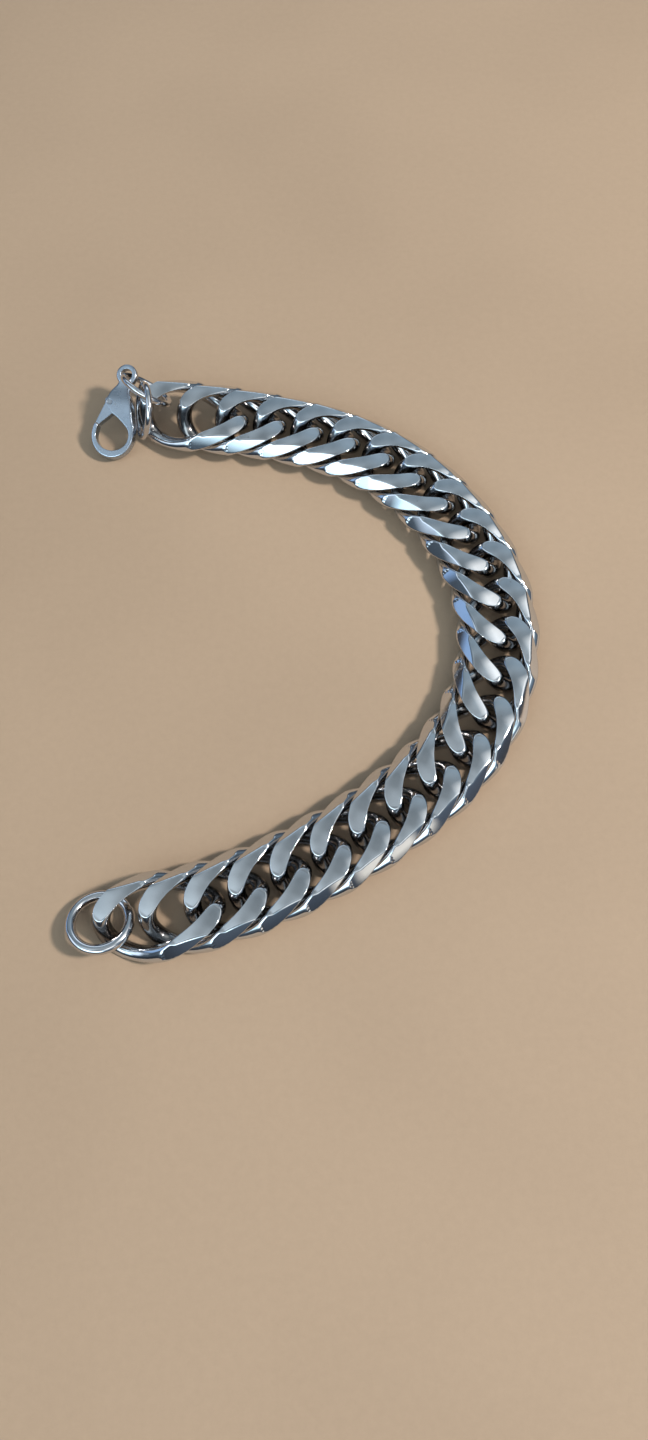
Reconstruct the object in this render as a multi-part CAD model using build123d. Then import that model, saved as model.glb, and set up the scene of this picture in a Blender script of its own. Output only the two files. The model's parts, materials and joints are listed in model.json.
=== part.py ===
from build123d import *
import os
from math import asin, atan2, cos, degrees, hypot, pi, radians, sin, sqrt, tan

# Chain: a double curb, in which each link passes through two neighbours on either side
WIRE_DIAMETER = 3.05
CHAIN_WIDTH = 15.45
CHAIN_THICKNESS = 5.9
LINK_COUNT = 23
BOW_PLAY = 1.05         # free room between a link's bow and the bow that it encloses
BOW_GAP = 0.45          # room between a bow and the bow of the third link on
TWIST_LAP = 0.15        # a leaf rises this much less than one wire diameter
EDGE_BEVEL = 2.1        # the ground bevel, measured in from the chain's side
BEVEL_ANGLE = 45.0
OVAL_POINTING = 0.06    # how far the plan is drawn in towards its bows
WIRE_STEPS = 24         # facets along the wire and round it
WIRE_SIDES = 10

LINK_PITCH = 2 * WIRE_DIAMETER + BOW_PLAY + BOW_GAP
HALF_LENGTH = LINK_PITCH + (WIRE_DIAMETER + BOW_PLAY) / 2
HALF_WIDTH = (CHAIN_WIDTH - WIRE_DIAMETER) / 2
TWIST_RISE = WIRE_DIAMETER - TWIST_LAP
HALF_THICKNESS = CHAIN_THICKNESS / 2

# Where the chain lies: points that its middle line passes through, from the clasp end
ROUTE = [
    (-22.8, 49.3),
    (-7.6, 46.6),
    (6.9, 41.3),
    (19.1, 32.4),
    (27.7, 20.4),
    (32.3, 5.8),
    (31.0, -9.6),
    (23.8, -22.9),
    (12.6, -32.8),
    (0.0, -40.3),
    (-13.6, -46.1),
    (-28.6, -49.5),
]

# The first links are tipped up by the clasp ring: roll and pitch in degrees, and lift
TIPPED_LINKS = {1: (6.6, 6.6, 0.3), 2: (4.4, 4.4, 0.0), 3: (2.0, 2.0, 0.0)}

# End ring, through the last link's bow
END_RING_DIAMETER = 11.6
END_RING_WIRE = 1.8
END_RING_LEAN = 16.0
END_RING_LEAN_TO = -100.4           # which way its axis leans, from the last link's long way
END_RING_OFFSET = (0.35, -0.67)     # from the bow's middle line, along and across the link

# Jump rings at the clasp, placed from the first link's bow: along it, across it and above
# the surface, then the heading and the lean of the ring's axis
JUMP_RING_DIAMETER = 11.1
JUMP_RING_WIRE = 1.3
CLASP_RING_SPOT = (0.08, 3.89, 6.74)
CLASP_RING_AXIS = (49.9, 50.4)
SPARE_RING_SPOT = (0.03, -0.87, 6.4)
SPARE_RING_AXIS = (14.7, 111.2)

# Lobster clasp: in its own frame the eye is at the origin and the hook lies along +X
CLASP_LENGTH = 18.95
CLASP_THICKNESS = 3.0
CLASP_HEADING = -104.5
CLASP_EYE_SPOT = (-4.02, 6.63, 7.4)     # the eye's middle, placed like the jump rings
EYE_DIAMETER = 4.2
EYE_HOLE = 2.3
EYE_THICKNESS = 1.6
HOOK_WIDTH = 8.6
HOOK_DEPTH = 4.55       # from the middle of the hook's loop to its end
HOOK_WALL = 0.95
HOOK_END_WALL = 1.5
HOOK_TIP_RISE = 0.1     # how far the hook's end leans into the hole
HOOK_THICKNESS = 2.1
HOOK_OFFSET = -0.7      # how far the loop lies to the lever's side of the eye
LEFT_FLANK = [(0.27, 0.47), (0.42, 0.60), (0.65, 0.78), (0.82, 0.91)]    # shares of the loop's
RIGHT_FLANK = [(0.25, 0.36), (0.40, 0.52), (0.56, 0.69), (0.76, 0.88)]   # distance and side
EDGE_ROUND = 0.4

# Lever and its pin, in the clasp's frame
PIVOT = (5.95, -2.15)
ROOT_RADIUS = 1.15
LEVER_THICKNESS = 1.6
LEVER_CLEARANCE = 0.15
GATE_REACH = 5.0                # from the pivot to the hook's end, beyond the lever's tip
SEAM_TOP = (6.0, -3.2)          # the cheeks' edge runs from here
SEAM_FOOT = (8.0, -1.5)         # to the corner of the hook's hole
SLOT_WALL = -0.3                # the far side of the slot that the lever turns in
SLOT_REACH = 1.0                # how far the slot runs on past the hole's corner
NUB_RADIUS = 0.6
NUB_OFFSET = (-0.5, -0.65)       # from the pivot
PIN_DIAMETER = 0.9
PIN_CLEARANCE = 0.1
PIN_SEAT_CLEARANCE = 0.03

LOOP_MIDDLE = CLASP_LENGTH - EYE_DIAMETER / 2 - HOOK_DEPTH


def link_centre(turn):
    """The wire's middle line, as a function of the angle round the oval."""
    return Vector(
        HALF_LENGTH * cos(turn),
        HALF_WIDTH * ((1 - OVAL_POINTING) * sin(turn) - OVAL_POINTING * sin(3 * turn)),
        -TWIST_RISE * sin(2 * turn),
    )


def link_heading(turn):
    """The direction of the middle line at the same angle."""
    return Vector(
        -HALF_LENGTH * sin(turn),
        HALF_WIDTH * ((1 - OVAL_POINTING) * cos(turn) - 3 * OVAL_POINTING * cos(3 * turn)),
        -2 * TWIST_RISE * cos(2 * turn),
    ).normalized()


def wire_section(turn):
    """Corners of the wire's section, a polygon of the round wire's own area."""
    corner = 2 * pi / WIRE_SIDES
    radius = WIRE_DIAMETER / 2 * sqrt(corner / sin(corner))
    heading = link_heading(turn)
    across = heading.cross(Vector(0, 0, 1)).normalized()
    up = across.cross(heading)
    middle = link_centre(turn)
    return [
        middle
        + across * (radius * cos(corner * (side + 0.5)))
        + up * (radius * sin(corner * (side + 0.5)))
        for side in range(WIRE_SIDES)
    ]


def ground_envelope():
    """The room that grinding leaves: a long six-sided bar."""
    flat = CHAIN_WIDTH / 2 - EDGE_BEVEL
    ridge = flat + HALF_THICKNESS / tan(radians(BEVEL_ANGLE))
    outline = Polyline(
        (-flat, HALF_THICKNESS),
        (flat, HALF_THICKNESS),
        (ridge, 0),
        (flat, -HALF_THICKNESS),
        (-flat, -HALF_THICKNESS),
        (-ridge, 0),
        close=True,
    )
    return extrude(Plane.YZ * make_face(outline), amount=HALF_LENGTH + WIRE_DIAMETER, both=True)


def make_link():
    """One link at the origin, its long way along X: the wire in flat facets, then ground."""
    rings = [wire_section(2 * pi * step / WIRE_STEPS) for step in range(WIRE_STEPS)]
    facets = []
    for step in range(WIRE_STEPS):
        here, ahead = rings[step], rings[(step + 1) % WIRE_STEPS]
        for side in range(WIRE_SIDES):
            following = (side + 1) % WIRE_SIDES
            near, far = here[side], ahead[following]
            facets.append(Face(Wire.make_polygon([near, here[following], far])))
            facets.append(Face(Wire.make_polygon([near, far, ahead[side]])))
    return Solid(Shell(facets)) & ground_envelope()


def link_places():
    """Each link's place on the surface, at equal steps along the route."""
    route = Spline(*ROUTE)
    places = []
    for number in range(LINK_COUNT):
        run = number * LINK_PITCH
        along = min(run, route.length)
        heading = route.tangent_at(along, position_mode=PositionMode.LENGTH)
        spot = route.position_at(along, position_mode=PositionMode.LENGTH)
        spot += heading * (run - along)
        places.append(Location(spot, (0, 0, degrees(atan2(heading.Y, heading.X)))))
    return places


def place_link(link, place, tip):
    """The link on its place, tipped by roll and pitch, and set down on the surface or over it."""
    roll, pitch, lift = tip
    turned = link.rotate(Axis.X, roll).rotate(Axis.Y, pitch)
    return place * Pos(0, 0, lift - turned.bounding_box().min.Z) * turned


def make_ring(diameter, wire, plane):
    """A ring of round wire, its axis along the plane's normal."""
    return plane * Torus((diameter - wire) / 2, wire / 2)


def axis_direction(heading, lean):
    """A unit vector that leans from upright towards a heading, both in degrees."""
    turn, fall = radians(heading), radians(lean)
    return Vector(cos(turn) * sin(fall), sin(turn) * sin(fall), cos(fall))


def end_ring_plane(last_link):
    """The end ring lies round the last bow, under one leaf and over the other wire."""
    heading = last_link.orientation.Z
    along, across = END_RING_OFFSET
    middle = last_link * Pos(HALF_LENGTH + along, across, 0)
    radius = (END_RING_DIAMETER - END_RING_WIRE) / 2
    height = END_RING_WIRE / 2 + radius * sin(radians(END_RING_LEAN)) + 0.1
    centre = middle.position + Vector(0, 0, height)
    return Plane(origin=centre, z_dir=axis_direction(heading + END_RING_LEAN_TO, END_RING_LEAN))


def from_first_bow(first_place, spot):
    """A point near the first link's bow: along and across the link, and above the surface."""
    along, across, height = spot
    return (first_place * Pos(along - HALF_LENGTH, across, height)).position


def jump_ring_plane(first_place, spot, axis):
    """The plane of a jump ring, from its centre and its axis."""
    heading, lean = axis
    direction = axis_direction(first_place.orientation.Z + heading, lean)
    return Plane(origin=from_first_bow(first_place, spot), z_dir=direction)


def flank(shares, side):
    """Points of one side of the clasp's body, from the eye to the loop."""
    return [(LOOP_MIDDLE * along, side * across) for along, across in shares]


def clasp_outline():
    """The clasp seen from above: eye, two flanks and the loop's round end."""
    left = HOOK_OFFSET - HOOK_WIDTH / 2
    right = HOOK_OFFSET + HOOK_WIDTH / 2
    neck = EYE_DIAMETER * 0.38
    shoulder = sqrt((EYE_DIAMETER / 2) ** 2 - neck**2)
    left_side = Spline(
        (neck, -shoulder),
        *flank(LEFT_FLANK, left),
        (LOOP_MIDDLE, left),
        tangents=[(1, -0.25), (1, 0)],
    )
    right_side = Spline(
        (neck, shoulder),
        *flank(RIGHT_FLANK, right),
        (LOOP_MIDDLE, right),
        tangents=[(1, 0.05), (1, 0)],
    )
    loop = EllipticalCenterArc(
        (LOOP_MIDDLE, HOOK_OFFSET), HOOK_DEPTH, HOOK_WIDTH / 2, -90, arc_size=180
    )
    eye = ThreePointArc((neck, shoulder), (-EYE_DIAMETER / 2, 0), (neck, -shoulder))
    return make_face([left_side, loop, right_side, eye])


def clasp_profile():
    """The clasp seen from the side: thin at the eye, thick at the lever, thinner at the hook."""
    edges = []
    for side in (1, -1):
        thin = side * EYE_THICKNESS / 2
        thick = side * CLASP_THICKNESS / 2
        hook = side * HOOK_THICKNESS / 2
        crest = LOOP_MIDDLE / 2
        swell = EYE_DIAMETER * 0.45
        edges += [
            Line((-EYE_DIAMETER, thin), (swell, thin)),
            Spline((swell, thin), (crest, thick), tangents=[(1, 0), (1, 0)]),
            Spline((crest, thick), (1.1 * LOOP_MIDDLE, hook), tangents=[(1, 0), (1, 0)]),
            Line((1.1 * LOOP_MIDDLE, hook), (CLASP_LENGTH, hook)),
        ]
    edges.append(Line((-EYE_DIAMETER, -EYE_THICKNESS / 2), (-EYE_DIAMETER, EYE_THICKNESS / 2)))
    edges.append(Line((CLASP_LENGTH, -HOOK_THICKNESS / 2), (CLASP_LENGTH, HOOK_THICKNESS / 2)))
    return make_face(edges)


def hook_tip():
    """The inner corner of the hook's end, as far from the pivot as the gate reaches."""
    side = HOOK_OFFSET - HOOK_WIDTH / 2 + HOOK_WALL + HOOK_TIP_RISE
    return PIVOT[0] + sqrt(GATE_REACH**2 - (side - PIVOT[1]) ** 2), side


def hook_hole():
    """The space inside the hook with its gate shut, a rounded teardrop."""
    half = HOOK_WIDTH / 2 - HOOK_WALL
    top = HOOK_OFFSET + half
    foot = HOOK_OFFSET - half
    loop = EllipticalCenterArc(
        (LOOP_MIDDLE, HOOK_OFFSET), HOOK_DEPTH - HOOK_END_WALL, half, -90, arc_size=180
    )
    crown = Spline(
        (LOOP_MIDDLE, top),
        (0.79 * LOOP_MIDDLE, HOOK_OFFSET + 0.55 * half),
        SEAM_FOOT,
        tangents=[(-1, 0), (-0.45, -1)],
    )
    inner = Line(SEAM_FOOT, hook_tip())
    hook = Line(hook_tip(), (LOOP_MIDDLE, foot))
    return make_face([loop, crown, inner, hook])


def make_clasp_body():
    """Cast body with its outer edges rounded, the hook's hole, the slot and the pin's seat."""
    body = extrude(clasp_outline(), amount=CLASP_THICKNESS, both=True)
    body = body & extrude(Plane.XZ * clasp_profile(), amount=HOOK_WIDTH, both=True)
    rims = [
        edge
        for edge in body.edges()
        if abs((edge @ 0.5).Z) > EYE_THICKNESS / 4 and abs((edge % 0.5).Z) < 0.8
    ]
    body = fillet(rims, EDGE_ROUND)
    body -= extrude(hook_hole(), amount=CLASP_THICKNESS, both=True)
    body -= Cylinder(EYE_HOLE / 2, 2 * CLASP_THICKNESS)

    gate = Polyline(
        (SEAM_TOP[0], -HOOK_WIDTH),
        SEAM_TOP,
        SEAM_FOOT,
        (PIVOT[0] + GATE_REACH, SEAM_FOOT[1]),
        (PIVOT[0] + GATE_REACH, -HOOK_WIDTH),
        close=True,
    )
    gap = make_face(gate) & (Pos(*PIVOT) * Circle(GATE_REACH))
    body -= extrude(gap, amount=CLASP_THICKNESS, both=True)

    slot_start = PIVOT[0] - ROOT_RADIUS - 2 * LEVER_CLEARANCE
    slot_end = SEAM_FOOT[0] + SLOT_REACH
    slot = Pos((slot_start + slot_end) / 2, (SLOT_WALL - HOOK_WIDTH) / 2, 0) * Box(
        slot_end - slot_start, SLOT_WALL + HOOK_WIDTH, LEVER_THICKNESS + 2 * LEVER_CLEARANCE
    )
    body -= slot
    seat = Cylinder(PIN_DIAMETER / 2 + PIN_SEAT_CLEARANCE, 2 * CLASP_THICKNESS)
    return body - Pos(*PIVOT) * seat


def make_lever():
    """The gate: a disc round the pin, an arm flush with the clasp's side and a thumb nub."""
    x, y = PIVOT
    arm = Polyline(
        (x, -HOOK_WIDTH),
        (x, y + ROOT_RADIUS),
        SEAM_FOOT,
        hook_tip(),
        (x + GATE_REACH, -HOOK_WIDTH),
        close=True,
    )
    sweep = Pos(x, y) * Circle(GATE_REACH - LEVER_CLEARANCE)
    plan = clasp_outline() & make_face(arm) & sweep
    plan += Pos(x, y) * Circle(ROOT_RADIUS)
    plan += Pos(x + NUB_OFFSET[0], y + NUB_OFFSET[1]) * Circle(NUB_RADIUS)
    plan -= Pos(x, y) * Circle(PIN_DIAMETER / 2 + PIN_CLEARANCE)
    return extrude(plan, amount=LEVER_THICKNESS / 2, both=True)


def make_pin():
    """The rivet, a little short of the cheeks' outer faces."""
    return Pos(*PIVOT) * Cylinder(PIN_DIAMETER / 2, CLASP_THICKNESS - 0.1)


def clasp_pitch(eye_height):
    """How far the clasp points down, so that its hook's end rests on the surface."""
    reach = CLASP_LENGTH - EYE_DIAMETER / 2
    half = HOOK_THICKNESS / 2
    return degrees(asin(eye_height / hypot(reach, half)) - atan2(half, reach))


def place_clasp(piece, first_place):
    """A piece of the clasp, from its own frame to where it lies."""
    spot = from_first_bow(first_place, CLASP_EYE_SPOT)
    turned = piece.rotate(Axis.Y, clasp_pitch(spot.Z)).rotate(Axis.Z, CLASP_HEADING)
    return Pos(*spot) * turned


def build():
    """All pieces by node name, where they lie, before the shift to the common origin."""
    link = make_link()
    places = link_places()
    first, last = places[0], places[-1]
    pieces = {}
    for number, place in enumerate(places, start=1):
        tip = TIPPED_LINKS.get(number, (0.0, 0.0, 0.0))
        pieces[f"link_{number:02d}"] = place_link(link, place, tip)
    pieces["end_ring"] = make_ring(END_RING_DIAMETER, END_RING_WIRE, end_ring_plane(last))
    for name, spot, axis in (
        ("clasp_ring", CLASP_RING_SPOT, CLASP_RING_AXIS),
        ("spare_ring", SPARE_RING_SPOT, SPARE_RING_AXIS),
    ):
        plane = jump_ring_plane(first, spot, axis)
        pieces[name] = make_ring(JUMP_RING_DIAMETER, JUMP_RING_WIRE, plane)
    for name, piece in (
        ("clasp_body", make_clasp_body()),
        ("clasp_lever", make_lever()),
        ("lever_pin", make_pin()),
    ):
        pieces[name] = place_clasp(piece, first)
    return pieces


pieces = build()
box = Compound(children=list(pieces.values())).bounding_box()
shift = Vector(-box.center().X, -box.center().Y, -box.min.Z)
os.makedirs("parts", exist_ok=True)
for name, piece in pieces.items():
    solid = (Pos(*shift) * piece).solid()
    solid.label = name
    export_step(solid, f"parts/{name}.step")
    print(f"{name:12s} {solid.volume:8.1f} mm3, valid {solid.is_valid}")
print("box", box.size, "shift", shift)
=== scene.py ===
# Curb chain bracelet with a lobster clasp, in polished steel, lying open on a pale table.
# Sizes are in metres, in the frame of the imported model.
import json
from collections import namedtuple
from math import cos, pi, radians, sin, tan

import bpy
import numpy as np
from mathutils import Matrix, Vector

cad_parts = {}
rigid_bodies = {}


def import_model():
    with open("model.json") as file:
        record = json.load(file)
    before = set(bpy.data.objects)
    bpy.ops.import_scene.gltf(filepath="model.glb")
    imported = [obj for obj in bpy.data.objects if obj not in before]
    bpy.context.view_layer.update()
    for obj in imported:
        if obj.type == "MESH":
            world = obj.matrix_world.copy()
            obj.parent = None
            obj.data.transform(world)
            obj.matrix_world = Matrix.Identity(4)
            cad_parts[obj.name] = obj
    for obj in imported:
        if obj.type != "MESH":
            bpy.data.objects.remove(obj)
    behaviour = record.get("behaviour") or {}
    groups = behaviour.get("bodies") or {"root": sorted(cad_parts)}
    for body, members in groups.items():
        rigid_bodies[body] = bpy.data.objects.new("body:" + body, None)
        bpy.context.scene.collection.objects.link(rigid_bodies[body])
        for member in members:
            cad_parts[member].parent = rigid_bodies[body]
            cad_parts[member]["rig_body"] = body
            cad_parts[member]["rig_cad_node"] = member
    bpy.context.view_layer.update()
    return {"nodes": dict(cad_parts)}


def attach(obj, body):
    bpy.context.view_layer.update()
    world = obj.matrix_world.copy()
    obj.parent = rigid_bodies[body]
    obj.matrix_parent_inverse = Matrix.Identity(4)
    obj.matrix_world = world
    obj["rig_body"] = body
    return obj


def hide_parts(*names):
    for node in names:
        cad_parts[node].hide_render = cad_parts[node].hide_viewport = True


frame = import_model()


# Chain links. A real link is a length of round steel wire bent to a twisted oval, hooked
# through its neighbours and welded shut. The finished chain is ground flat above and below,
# bevelled along both edges and polished.
MM = 0.001
LINKS = 23
WIRE = 3.05 * MM
LINK_HALF_LENGTH = 9.58 * MM
LINK_HALF_WIDTH = 6.13 * MM
TWIST_RISE = 2.9 * MM
OVAL_POINTING = 0.06
BEND_HALVINGS = 3
STEPS_PER_BEND = 9
STEPS_ROUND_WIRE = 22

# The grinding. A face's plane falls away from the face's middle as a crown does, up to the
# crown's reach, and lifts off the wire past the leaf's reach, where the wheel ends.
GROUND_HALF_THICKNESS = 2.95 * MM
FLAT_HALF_WIDTH = 5.2 * MM
BEVEL_LEAN = radians(45)
FLAT_CROWN = 22 * MM
BEVEL_CROWN = 55 * MM
CROWN_REACH = 4.4 * MM
LEAF_REACH = 5.4 * MM
LEAF_LIFT = 0.5
POLISH_ROUND = 0.035 * MM
MERGE_DISTANCE = 0.001 * MM

# The wire between the leaves, which no buffing wheel reaches. It is made a little rougher, and its colour is
# darkened towards a near-black brown as painted shade where the leaves shade it.
UNBUFFED_AND_SHADED_HALF_WIDTH = 4.8 * MM
UNBUFFED_AND_SHADED_SIDE_FADE = 1.2 * MM
UNBUFFED_AND_SHADED_HALF_HEIGHT = 2.4 * MM
UNBUFFED_AND_SHADED_TOP_FADE = 0.9 * MM
PAINTED_SHADE_COLOUR = (0.09, 0.075, 0.065, 1.0)

# The buffed surface.
SMEAR_SIZE = 3.0 * MM
HAIRLINE_SPACING = (6 * MM, 0.12 * MM, 1.5 * MM)
SPECK_SPACING = 1.7 * MM
RIPPLE_SIZE = 4.5 * MM
STAIN_COLOUR = (0.30, 0.25, 0.21, 1.0)


class Wire:
    """One output of a shader node, so that values can be added and multiplied in Python."""

    def __init__(self, tree, socket):
        self.tree = tree
        self.socket = socket

    def node(self, kind, settings=None, inputs=None, output=0):
        made = self.tree.nodes.new(kind)
        for name, value in (settings or {}).items():
            if name == "stops":
                self.set_stops(made.color_ramp, value)
            else:
                setattr(made, name, value)
        for name, value in (inputs or {}).items():
            if isinstance(value, Wire):
                self.tree.links.new(value.socket, made.inputs[name])
            else:
                made.inputs[name].default_value = value
        return Wire(self.tree, made.outputs[output])

    def set_stops(self, ramp, stops):
        while len(ramp.elements) < len(stops):
            ramp.elements.new(0.5)
        for element, (place, colour) in zip(ramp.elements, stops):
            element.position = place
            element.color = (*colour, 1.0)

    def maths(self, operation, first, second):
        return self.node("ShaderNodeMath", {"operation": operation}, {0: first, 1: second})

    def __add__(self, other):
        return self.maths("ADD", self, other)

    def __mul__(self, other):
        return self.maths("MULTIPLY", self, other)

    def __truediv__(self, other):
        return self.maths("DIVIDE", self, other)

    def __rtruediv__(self, other):
        return self.maths("DIVIDE", other, self)

    __radd__ = __add__
    __rmul__ = __mul__

    def absolute(self):
        return self.maths("ABSOLUTE", self, 0.0)

    def mixed(self, way, other):
        """This colour with another laid over it by multiplying or adding."""
        settings = {"data_type": "RGBA", "blend_type": way}
        return self.node("ShaderNodeMix", settings, {"Factor": 1.0, 6: self, 7: other}, output=2)


def between(value, low, high, to_low=0.0, to_high=1.0):
    inputs = {"Value": value, "From Min": low, "From Max": high, "To Min": to_low, "To Max": to_high}
    return value.node("ShaderNodeMapRange", {"clamp": True}, inputs)


def blend_colours(mask, first, second):
    inputs = {"Factor": mask, 6: first, 7: second}
    return mask.node("ShaderNodeMix", {"data_type": "RGBA"}, inputs, output=2)


def noise(place, scale, detail, roughness=0.5):
    inputs = {"Vector": place, "Scale": scale, "Detail": detail, "Roughness": roughness}
    return place.node("ShaderNodeTexNoise", {}, inputs)


def new_material(name):
    material = bpy.data.materials.new(name)
    material.use_nodes = True
    tree = material.node_tree
    shader = tree.nodes["Principled BSDF"]
    start = Wire(tree, tree.nodes.new("ShaderNodeTexCoord").outputs["Object"])
    return material, shader, start


def feed(shader, **sockets):
    """Links values to the shader's sockets, whose spaces are written as underscores."""
    for name, value in sockets.items():
        value.tree.links.new(value.socket, shader.inputs[name.replace("_", " ")])


def polished_steel(name, colour, smear_colour, gloss, waviness):
    """Steel with a buffed surface: faint smears, hairline scratches and a little unevenness."""
    material, shader, place = new_material(name)
    smear = noise(place, 1 / SMEAR_SIZE, 4.0, 0.6)
    scratch_scale = tuple(1 / spacing for spacing in HAIRLINE_SPACING)
    stretched = place.node("ShaderNodeMapping", {}, {"Vector": place, "Scale": scratch_scale})
    hairlines = noise(stretched, 1.0, 2.0)
    specks = place.node("ShaderNodeTexVoronoi", {}, {"Vector": place, "Scale": 1 / SPECK_SPACING})
    stain = between(specks, 0.05, 0.13, 1.0, 0.0) * between(smear, 0.52, 0.62)
    shelter = place.node("ShaderNodeAttribute", {"attribute_name": "shelter"}, output="Fac")

    tint = blend_colours(between(smear, 0.42, 0.68) * 0.25, (*colour, 1.0), (*smear_colour, 1.0))
    tint = blend_colours(stain * 0.35, tint, STAIN_COLOUR)
    # Painted shade: the wire between the leaves is darkened towards a near-black brown in the base colour.
    tint = blend_colours(shelter * 0.8, tint, PAINTED_SHADE_COLOUR)
    rough = between(smear, 0.35, 0.72, gloss * 0.75, gloss * 1.7)
    rough = rough + between(hairlines, 0.60, 0.75) * 0.05
    rough = rough + stain * 0.12 + shelter * 0.10
    height = noise(place, 1 / RIPPLE_SIZE, 1.0, 0.4) * waviness + hairlines * (waviness * 0.01)
    bump = place.node("ShaderNodeBump", {}, {"Height": height, "Distance": 1.0, "Strength": 1.0})
    feed(shader, Base_Color=tint, Roughness=rough, Normal=bump)
    shader.inputs["Metallic"].default_value = 1.0
    return material


def select_only(piece):
    bpy.ops.object.select_all(action="DESELECT")
    piece.select_set(True)
    bpy.context.view_layer.objects.active = piece


def bent_wire():
    bpy.ops.object.select_all(action="DESELECT")
    bpy.ops.curve.primitive_bezier_circle_add(radius=LINK_HALF_LENGTH)
    wire = bpy.context.object
    bpy.ops.object.mode_set(mode="EDIT")
    for _ in range(BEND_HALVINGS):
        bpy.ops.curve.select_all(action="SELECT")
        bpy.ops.curve.subdivide(number_cuts=1)
    bpy.ops.object.mode_set(mode="OBJECT")
    bends = wire.data.splines[0].bezier_points
    for index, bend in enumerate(bends):
        turn = 2 * pi * index / len(bends)
        bend.co = (
            LINK_HALF_LENGTH * cos(turn),
            LINK_HALF_WIDTH * ((1 - OVAL_POINTING) * sin(turn) - OVAL_POINTING * sin(3 * turn)),
            -TWIST_RISE * sin(2 * turn),
        )
        bend.handle_left_type = "AUTO"
        bend.handle_right_type = "AUTO"
    wire.data.resolution_u = STEPS_PER_BEND
    wire.data.bevel_depth = WIRE / 2
    wire.data.bevel_resolution = STEPS_ROUND_WIRE
    wire.data.twist_mode = "Z_UP"
    select_only(wire)
    bpy.ops.object.convert(target="MESH")
    return bpy.context.object


def corners_of(piece):
    corners = np.empty(len(piece.data.vertices) * 3)
    piece.data.vertices.foreach_get("co", corners)
    return corners.reshape(-1, 3)


def grinding_planes():
    """The two flats and the four bevels: normal, distance from the link's middle, crown."""
    flats = [(np.array((0, 0, side)), GROUND_HALF_THICKNESS, FLAT_CROWN) for side in (1, -1)]
    outward, upward = sin(BEVEL_LEAN), cos(BEVEL_LEAN)
    distance = FLAT_HALF_WIDTH * outward + GROUND_HALF_THICKNESS * upward
    bevels = [
        (np.array((0, across * outward, side * upward)), distance, BEVEL_CROWN)
        for across in (1, -1)
        for side in (1, -1)
    ]
    return flats + bevels


def ground(corners, normal, distance, crown):
    """Moves what stands beyond one plane back to it, with a small round at the border."""
    beyond = corners @ normal - distance
    if not (beyond > 0).any():
        return corners
    offset = corners - corners[beyond > 0].mean(axis=0)
    offset -= (offset @ normal)[:, None] * normal
    aside = np.linalg.norm(offset, axis=1)
    fading = np.clip(2 - (aside / CROWN_REACH) ** 2, 0, 1)
    beyond += fading * aside**2 / (2 * crown)
    beyond -= LEAF_LIFT * np.clip(aside - LEAF_REACH, 0, None)
    excess = POLISH_ROUND * np.logaddexp(0, beyond / POLISH_ROUND)
    return corners - excess[:, None] * normal


def grind(link):
    """Grinds a link's two leaves, one on either side of its middle, and polishes them."""
    corners = corners_of(link)
    for normal, distance, crown in grinding_planes():
        for half in (corners[:, 0] < 0, corners[:, 0] >= 0):
            corners[half] = ground(corners[half], normal, distance, crown)
    link.data.vertices.foreach_set("co", corners.ravel())
    select_only(link)
    bpy.ops.object.mode_set(mode="EDIT")
    bpy.ops.mesh.select_all(action="SELECT")
    bpy.ops.mesh.remove_doubles(threshold=MERGE_DISTANCE)
    bpy.ops.mesh.normals_make_consistent(inside=False)
    bpy.ops.object.mode_set(mode="OBJECT")
    bpy.ops.object.shade_smooth()


def mark_unbuffed_and_shaded(link):
    # Marks the wire between the leaves, which gets a rougher finish and painted shade in its colour.
    shelter = link.data.attributes.new("shelter", "FLOAT", "POINT")
    across, height = np.abs(corners_of(link)[:, 1:].T)
    inward = np.clip((UNBUFFED_AND_SHADED_HALF_WIDTH - across) / UNBUFFED_AND_SHADED_SIDE_FADE, 0, 1)
    below = np.clip((UNBUFFED_AND_SHADED_HALF_HEIGHT - height) / UNBUFFED_AND_SHADED_TOP_FADE, 0, 1)
    shelter.data.foreach_set("value", inward * below)


def lie_of(node):
    """Where a CAD piece lies: its middle, and its long, wide and thin directions."""
    mesh = frame["nodes"][node].data
    corners = corners_of(frame["nodes"][node])
    faces = np.array([face.vertices[:3] for face in mesh.polygons])
    a, b, c = corners[faces[:, 0]], corners[faces[:, 1]], corners[faces[:, 2]]
    area = np.linalg.norm(np.cross(b - a, c - a), axis=1) / 2
    middle = ((a + b + c) / 3 * area[:, None]).sum(0) / area.sum()
    spread = np.zeros((3, 3))
    for p, q in ((a, b), (b, c), (c, a)):
        point = (p + q) / 2 - middle
        spread += np.einsum("i,ij,ik->jk", area, point, point)
    _, axes = np.linalg.eigh(spread)
    long_way, thin_way = Vector(axes[:, 2]), Vector(axes[:, 0])
    if thin_way.z < 0:
        thin_way.negate()
    wide_way = thin_way.cross(long_way)
    turn = Matrix((long_way, wide_way, thin_way)).transposed()
    return Matrix.Translation(Vector(middle)) @ turn.to_4x4()


def copy_to(pattern, name, place):
    piece = pattern.copy()
    piece.data = pattern.data.copy()
    piece.name = name
    piece.data.name = name
    bpy.context.collection.objects.link(piece)
    piece.data.transform(place)
    return piece


chain_steel = polished_steel(
    "chain_steel",
    colour=(0.66, 0.67, 0.69),
    smear_colour=(0.52, 0.53, 0.56),
    gloss=0.055,
    waviness=0.010 * MM,
)
link_pattern = bent_wire()
grind(link_pattern)
mark_unbuffed_and_shaded(link_pattern)
link_pattern.data.materials.clear()
link_pattern.data.materials.append(chain_steel)
for number in range(1, LINKS + 1):
    node = f"link_{number:02d}"
    link = copy_to(link_pattern, f"ground_link_{number:02d}", lie_of(node))
    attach(link, "bracelet")
    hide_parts(node)
bpy.data.objects.remove(link_pattern)


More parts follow.
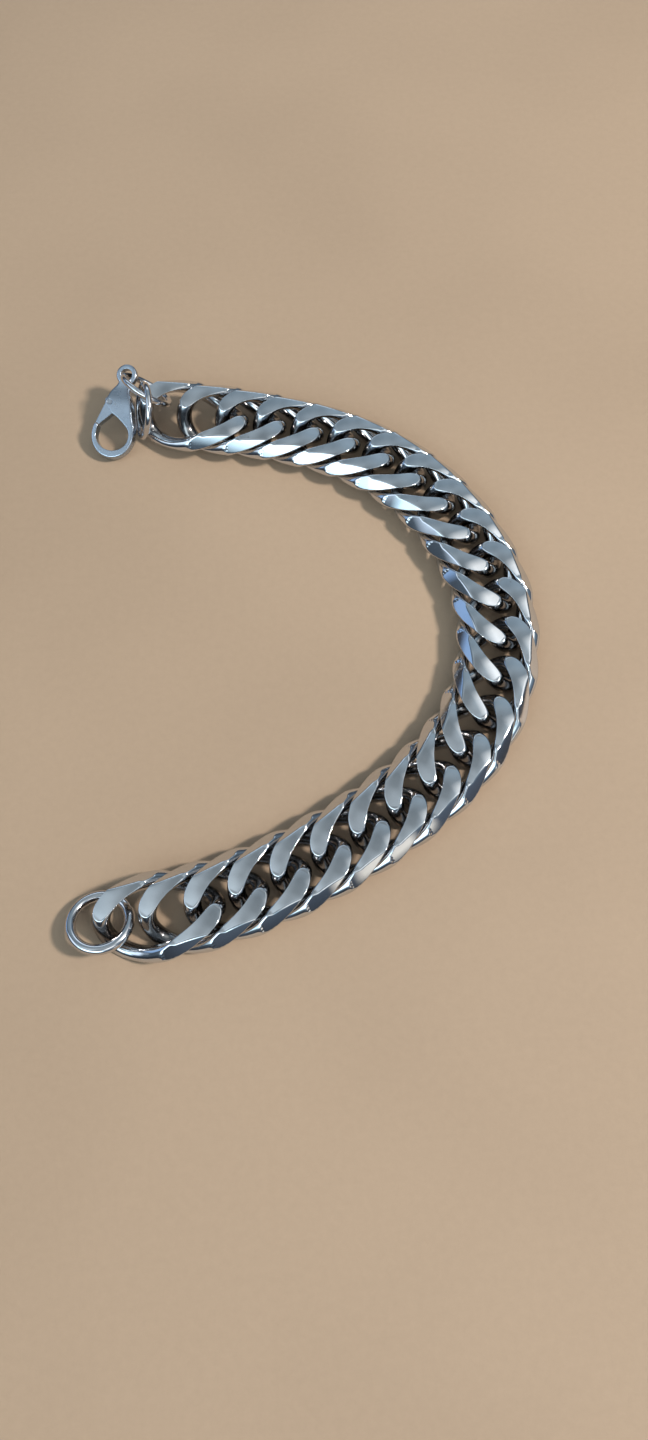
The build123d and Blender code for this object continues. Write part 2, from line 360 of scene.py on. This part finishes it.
# Rings. The end ring is soldered shut, and the two jump rings at the clasp are sawn wire
# closed by hand.
END_RING_OUTSIDE = 11.6 * MM
END_RING_WIRE = 1.8 * MM
JUMP_RING_OUTSIDE = 11.1 * MM
JUMP_RING_WIRE = 1.3 * MM
RING_STEPS = 160
RING_WIRE_STEPS = 32


def ring(node, name, outside, wire, material):
    bpy.ops.object.select_all(action="DESELECT")
    bpy.ops.mesh.primitive_torus_add(
        major_segments=RING_STEPS,
        minor_segments=RING_WIRE_STEPS,
        major_radius=(outside - wire) / 2,
        minor_radius=wire / 2,
    )
    piece = bpy.context.object
    piece.name = name
    piece.data.name = name
    piece.data.transform(lie_of(node))
    piece.data.materials.append(material)
    bpy.ops.object.shade_smooth()
    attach(piece, "bracelet")
    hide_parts(node)
    return piece


ring_steel = polished_steel(
    "ring_steel",
    colour=(0.62, 0.62, 0.64),
    smear_colour=(0.50, 0.49, 0.49),
    gloss=0.10,
    waviness=0.006 * MM,
)
ring("end_ring", "soldered_ring", END_RING_OUTSIDE, END_RING_WIRE, ring_steel)
ring("clasp_ring", "jump_ring_at_clasp", JUMP_RING_OUTSIDE, JUMP_RING_WIRE, ring_steel)
ring("spare_ring", "jump_ring_spare", JUMP_RING_OUTSIDE, JUMP_RING_WIRE, ring_steel)


# Lobster clasp. The body and the lever are cast, tumbled until every edge is round and
# then polished; the lever turns on a rivet in the body's slot.
BODY_GRAIN = 0.07 * MM
BODY_TUMBLING = 14
LEVER_GRAIN = 0.06 * MM
LEVER_TUMBLING = 10


def tumbled(node, name, grain, rounds, material, body):
    """A copy of a CAD piece with a fine cast skin, smoothed over the given rounds."""
    piece = copy_to(frame["nodes"][node], name, Matrix.Identity(4))
    piece.parent = None
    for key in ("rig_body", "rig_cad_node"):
        if key in piece:
            del piece[key]
    select_only(piece)
    bpy.ops.object.mode_set(mode="EDIT")
    bpy.ops.mesh.select_all(action="SELECT")
    bpy.ops.mesh.remove_doubles(threshold=MERGE_DISTANCE)
    bpy.ops.object.mode_set(mode="OBJECT")
    skin = piece.modifiers.new("cast skin", "REMESH")
    skin.mode = "VOXEL"
    skin.voxel_size = grain
    bpy.ops.object.modifier_apply(modifier=skin.name)
    wear = piece.modifiers.new("tumbling", "SMOOTH")
    wear.factor = 0.5
    wear.iterations = rounds
    bpy.ops.object.modifier_apply(modifier=wear.name)
    bpy.ops.object.shade_smooth()
    piece.data.materials.clear()
    piece.data.materials.append(material)
    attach(piece, body)
    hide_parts(node)
    return piece


clasp_steel = polished_steel(
    "clasp_steel",
    colour=(0.42, 0.47, 0.54),
    smear_colour=(0.34, 0.38, 0.44),
    gloss=0.20,
    waviness=0.008 * MM,
)
tumbled("clasp_body", "cast_clasp_body", BODY_GRAIN, BODY_TUMBLING, clasp_steel, "bracelet")
tumbled("clasp_lever", "cast_clasp_lever", LEVER_GRAIN, LEVER_TUMBLING, clasp_steel, "lever")

rivet_steel = polished_steel(
    "rivet_steel",
    colour=(0.40, 0.42, 0.46),
    smear_colour=(0.25, 0.26, 0.28),
    gloss=0.28,
    waviness=0.004 * MM,
)
rivet = frame["nodes"]["lever_pin"]
rivet.data.materials.clear()
rivet.data.materials.append(rivet_steel)


# Table. A plain pale sheet under the bracelet, a hair below it, with a fine nap.
TABLE_SIZE = 3.0
TABLE_DROP = 0.05 * MM
FIBRES_PER_METRE = 700.0
CLOUDS_PER_METRE = 14.0
TABLE_PALE = (0.330, 0.232, 0.152, 1)
TABLE_DEEP = (0.268, 0.187, 0.121, 1)


def table_paint():
    material, shader, place = new_material("table_paint")
    fibre = noise(place, FIBRES_PER_METRE, 6.0, 0.75)
    cloud = noise(place, CLOUDS_PER_METRE, 2.0)
    mottling = between(fibre, 0.35, 0.7) * 0.35 + between(cloud, 0.4, 0.62) * 0.3
    shade = blend_colours(mottling, TABLE_PALE, TABLE_DEEP)
    nap = place.node("ShaderNodeBump", {}, {"Height": fibre, "Distance": 0.08 * MM, "Strength": 0.5})
    feed(shader, Base_Color=shade, Normal=nap)
    shader.inputs["Roughness"].default_value = 0.75
    return material


bpy.ops.object.select_all(action="DESELECT")
bpy.ops.mesh.primitive_plane_add(size=TABLE_SIZE, location=(0, 0, -TABLE_DROP))
table = bpy.context.object
table.name = "table"
table.data.materials.append(table_paint())


# Studio light: a dim room with bright windows in some directions, which the polished facets
# mirror, and one main light from the right for the shadows. The room's tone goes from the
# floor at 0 to the ceiling at 1. A window's angles are in degrees.
ROOM_TONES = [
    (0.0, (0.10, 0.085, 0.07)),
    (0.50, (0.045, 0.045, 0.05)),
    (0.58, (0.07, 0.09, 0.12)),
    (0.72, (0.13, 0.18, 0.23)),
    (0.88, (0.32, 0.42, 0.50)),
    (1.0, (0.68, 0.79, 0.86)),
]
BACKDROP = (0.22, 0.25, 0.29, 1.0)
Window = namedtuple("Window", "azimuth elevation half_width half_height blur colour strength")
WINDOWS = [
    Window(-122, 38, 32, 13, 3.0, (0.62, 0.86, 1.0), 1.9),
    Window(-118, 39, 24, 9, 2.0, (1.0, 1.0, 1.0), 1.5),
    Window(-60, 52, 12, 8, 4.0, (1.0, 0.97, 0.92), 1.6),
    Window(-52, 12, 7, 5, 2.0, (1.0, 0.93, 0.80), 1.0),
    Window(153, 12, 16, 7, 2.0, (0.30, 0.50, 0.85), 0.9),
    Window(180, 34, 16, 10, 4.0, (0.70, 0.84, 1.0), 1.5),
    Window(20, 58, 16, 12, 4.0, (1.0, 0.97, 0.92), 0.85),
    Window(95, 30, 20, 6, 4.0, (0.80, 0.90, 1.0), 1.2),
]


def heading_of(azimuth, elevation):
    turn, rise = radians(azimuth), radians(elevation)
    return Vector((cos(turn) * cos(rise), sin(turn) * cos(rise), sin(rise)))


def along(view, way):
    return view.node("ShaderNodeVectorMath", {"operation": "DOT_PRODUCT"}, {0: view, 1: way}, output="Value")


def seen_through(window, view):
    """1 where the view looks through a four-sided window, 0 elsewhere."""
    ahead = heading_of(window.azimuth, window.elevation)
    aside = Vector((0, 0, 1)).cross(ahead).normalized()
    above = ahead.cross(aside)
    depth = along(view, ahead)
    mask = between(depth, 0.0, 0.05)
    for way, half in ((aside, window.half_width), (above, window.half_height)):
        slant = (along(view, way) / depth).absolute()
        inner, outer = tan(radians(half - window.blur)), tan(radians(half + window.blur))
        mask = mask * between(slant, inner, outer, 1.0, 0.0)
    return mask


def light_of(window, view):
    glow = seen_through(window, view) * window.strength
    red, green, blue = window.colour
    return glow.node("ShaderNodeCombineColor", {}, {0: glow * red, 1: glow * green, 2: glow * blue})


def furnish_room():
    """Makes the world's shader. The camera itself sees a plain backdrop."""
    world = bpy.data.worlds.new("room")
    world.use_nodes = True
    bpy.context.scene.world = world
    room = world.node_tree
    view = Wire(room, room.nodes.new("ShaderNodeTexCoord").outputs["Generated"])
    height = between(along(view, Vector((0, 0, 1))), -1.0, 1.0)
    tone = height.node("ShaderNodeValToRGB", {"stops": ROOM_TONES}, {"Fac": height})
    clutter = noise(view, 1.6, 1.5)
    tone = tone.mixed("MULTIPLY", between(clutter, 0.30, 0.70, 0.45, 1.55))
    for window in WINDOWS:
        tone = tone.mixed("ADD", light_of(window, view))
    seen = view.node("ShaderNodeLightPath", output="Is Camera Ray")
    tone = blend_colours(seen, tone, BACKDROP)
    room.links.new(tone.socket, room.nodes["Background"].inputs["Color"])


def panel(name, azimuth, elevation, distance, size, power, colour):
    """A square soft panel that faces the bracelet from a heading and a height in degrees."""
    away = heading_of(azimuth, elevation)
    bpy.ops.object.light_add(type="AREA", location=away * distance)
    lamp = bpy.context.object
    lamp.name = name
    lamp.data.shape = "SQUARE"
    lamp.data.size = size
    lamp.data.energy = power
    lamp.data.color = colour
    lamp.rotation_euler = away.to_track_quat("Z", "Y").to_euler()
    return lamp


furnish_room()
panel(
    "main light",
    azimuth=-10,
    elevation=46,
    distance=1.2,
    size=0.14,
    power=18,
    colour=(1.0, 0.96, 0.92),
)


# Camera, held above the near edge of the bracelet and turned a little.
CAMERA_HEIGHT = 168.4 * MM
CAMERA_SPOT = (2.234 * MM, -81.219 * MM)
CAMERA_TILT = radians(21)
CAMERA_ROLL = radians(-3)
SENSOR_WIDTH = 36
LENS = 25


def camera_turn():
    """The camera's right, up and backward directions, as a turn."""
    ahead = Vector((0, sin(CAMERA_TILT), -cos(CAMERA_TILT)))
    upright = Vector((0, cos(CAMERA_TILT), sin(CAMERA_TILT)))
    sideways = Vector((1, 0, 0))
    picture_right = cos(CAMERA_ROLL) * sideways + sin(CAMERA_ROLL) * upright
    picture_up = cos(CAMERA_ROLL) * upright - sin(CAMERA_ROLL) * sideways
    return Matrix((picture_right, picture_up, -ahead)).transposed().to_4x4()


bpy.ops.object.camera_add()
camera = bpy.context.object
camera.matrix_world = Matrix.Translation((*CAMERA_SPOT, CAMERA_HEIGHT)) @ camera_turn()
camera.data.sensor_width = SENSOR_WIDTH
camera.data.lens = LENS
camera.data.clip_start = 0.005
camera.data.clip_end = 10
bpy.context.scene.camera = camera
bpy.context.scene.view_settings.view_transform = "Standard"
